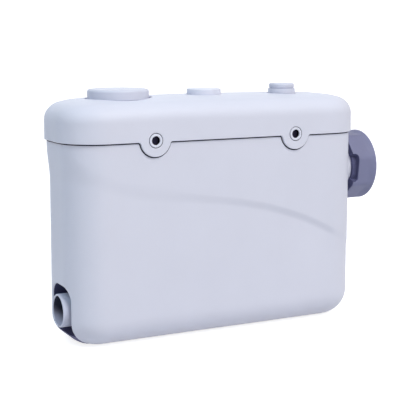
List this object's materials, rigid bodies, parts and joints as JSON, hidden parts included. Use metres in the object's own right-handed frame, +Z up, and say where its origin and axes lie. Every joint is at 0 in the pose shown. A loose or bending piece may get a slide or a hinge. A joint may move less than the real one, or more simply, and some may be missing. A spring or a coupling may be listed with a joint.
{
  "type": "macerator toilet pump",
  "caption": "Slim floor-standing macerator pump: rounded tank under a crowned screwed lid, caps and a test button on top, hose spigot in an alcove at one end, pipe union at the other.",
  "frame": {"origin": "middle of the tank's flat underside; the rubber feet reach 1.5 mm lower", "axes": "+X along the width towards the pipe union, the front faces -Y, +Z up"},
  "size_m": [0.3997, 0.1297, 0.28],
  "materials": {
    "casing": "fine moulded satin, pale lavender white",
    "fitting": "smooth moulded satin, pale lavender white",
    "nut_plastic": "satin, slate lavender grey",
    "grey_plastic": "moulded satin",
    "black_plastic": "moulded satin",
    "white_plastic": "moulded gloss",
    "charcoal": "open charcoal foam",
    "rubber": "dull",
    "steel": "bright rolled",
    "lamination": "oiled sheet steel stack",
    "copper": "enamelled copper wire"
  },
  "bodies": {
    "casing": {"tank": "casing", "lid": "casing", "lid_gasket": "rubber", "lid_screws": "steel", "screw_ferrules": "fitting", "button_spring": "steel", "vent_filter": "charcoal", "side_spigot": "fitting", "spigot_seal": "rubber", "inlet_flap_pin": "steel", "cone_seal": "rubber", "slip_washer": "fitting", "rubber_feet": "rubber", "cable_gland": "black_plastic", "gland_nut": "black_plastic", "motor_deck": "grey_plastic", "deck_screws": "steel", "motor_can": "steel", "motor_screws": "steel", "stator": "lamination", "windings": "copper", "upper_bearing": "steel", "lower_bearing": "steel", "shaft_seal": "rubber", "basket": "steel", "volute": "grey_plastic", "discharge_pipe": "grey_plastic", "check_valve": "grey_plastic", "check_flap_pin": "steel", "riser": "grey_plastic", "pressure_tube": "grey_plastic", "pressure_switch": "black_plastic", "microswitch": "black_plastic", "capacitor": "white_plastic", "capacitor_saddle": "black_plastic", "terminal_block": "white_plastic", "test_switch": "black_plastic"},
    "outlet_cap_body": {"outlet_cap": "fitting", "outlet_cap_ring": "rubber"},
    "test_button_body": {"test_button": "fitting", "button_clip": "steel"},
    "vent_cap_body": {"vent_cap": "fitting"},
    "union_nut_body": {"union_nut": "nut_plastic"},
    "inlet_flap_body": {"inlet_flap": "rubber"},
    "check_flap_body": {"check_flap": "rubber"},
    "plunger_body": {"pressure_plunger": "fitting"},
    "rotating_group": {"rotor": "lamination", "shaft": "steel", "cutter": "steel", "impeller": "grey_plastic", "impeller_nut": "steel"}
  },
  "joints": [
    {"name": "rotor_spin", "type": "hinge", "parent": "casing", "child": "rotating_group", "pos_m": [0.065, 0, 0.1], "axis": [0, 0, 1], "continuous": true},
    {"name": "outlet_cap_turn", "type": "hinge", "parent": "casing", "child": "outlet_cap_body", "pos_m": [-0.106, 0, 0.27], "axis": [0, 0, 1], "range_deg": [0, 90]},
    {"name": "test_button_press", "type": "slide", "parent": "casing", "child": "test_button_body", "axis": [0, 0, -1], "range_m": [0, 0.004], "stiffness_N_per_m": 400, "springref_m": -0.004, "deforming": ["button_spring"]},
    {"name": "vent_cap_turn", "type": "hinge", "parent": "casing", "child": "vent_cap_body", "pos_m": [0.099, -0.008, 0.27], "axis": [0, 0, 1], "range_deg": [0, 90]},
    {"name": "union_nut_turn", "type": "hinge", "parent": "casing", "child": "union_nut_body", "pos_m": [0.2, 0, 0.1755], "axis": [1, 0, 0], "continuous": true},
    {"name": "inlet_flap_swing", "type": "hinge", "parent": "casing", "child": "inlet_flap_body", "pos_m": [-0.13765, -0.007, 0.06285], "axis": [0, -1, 0], "range_deg": [0, 40]},
    {"name": "check_flap_swing", "type": "hinge", "parent": "casing", "child": "check_flap_body", "pos_m": [-0.109, 0, 0.0733], "axis": [0, -1, 0], "range_deg": [0, 70]},
    {"name": "pressure_plunger_slide", "type": "slide", "parent": "casing", "child": "plunger_body", "axis": [0, 0, 1], "range_m": [0, 0.002]}
  ]
}
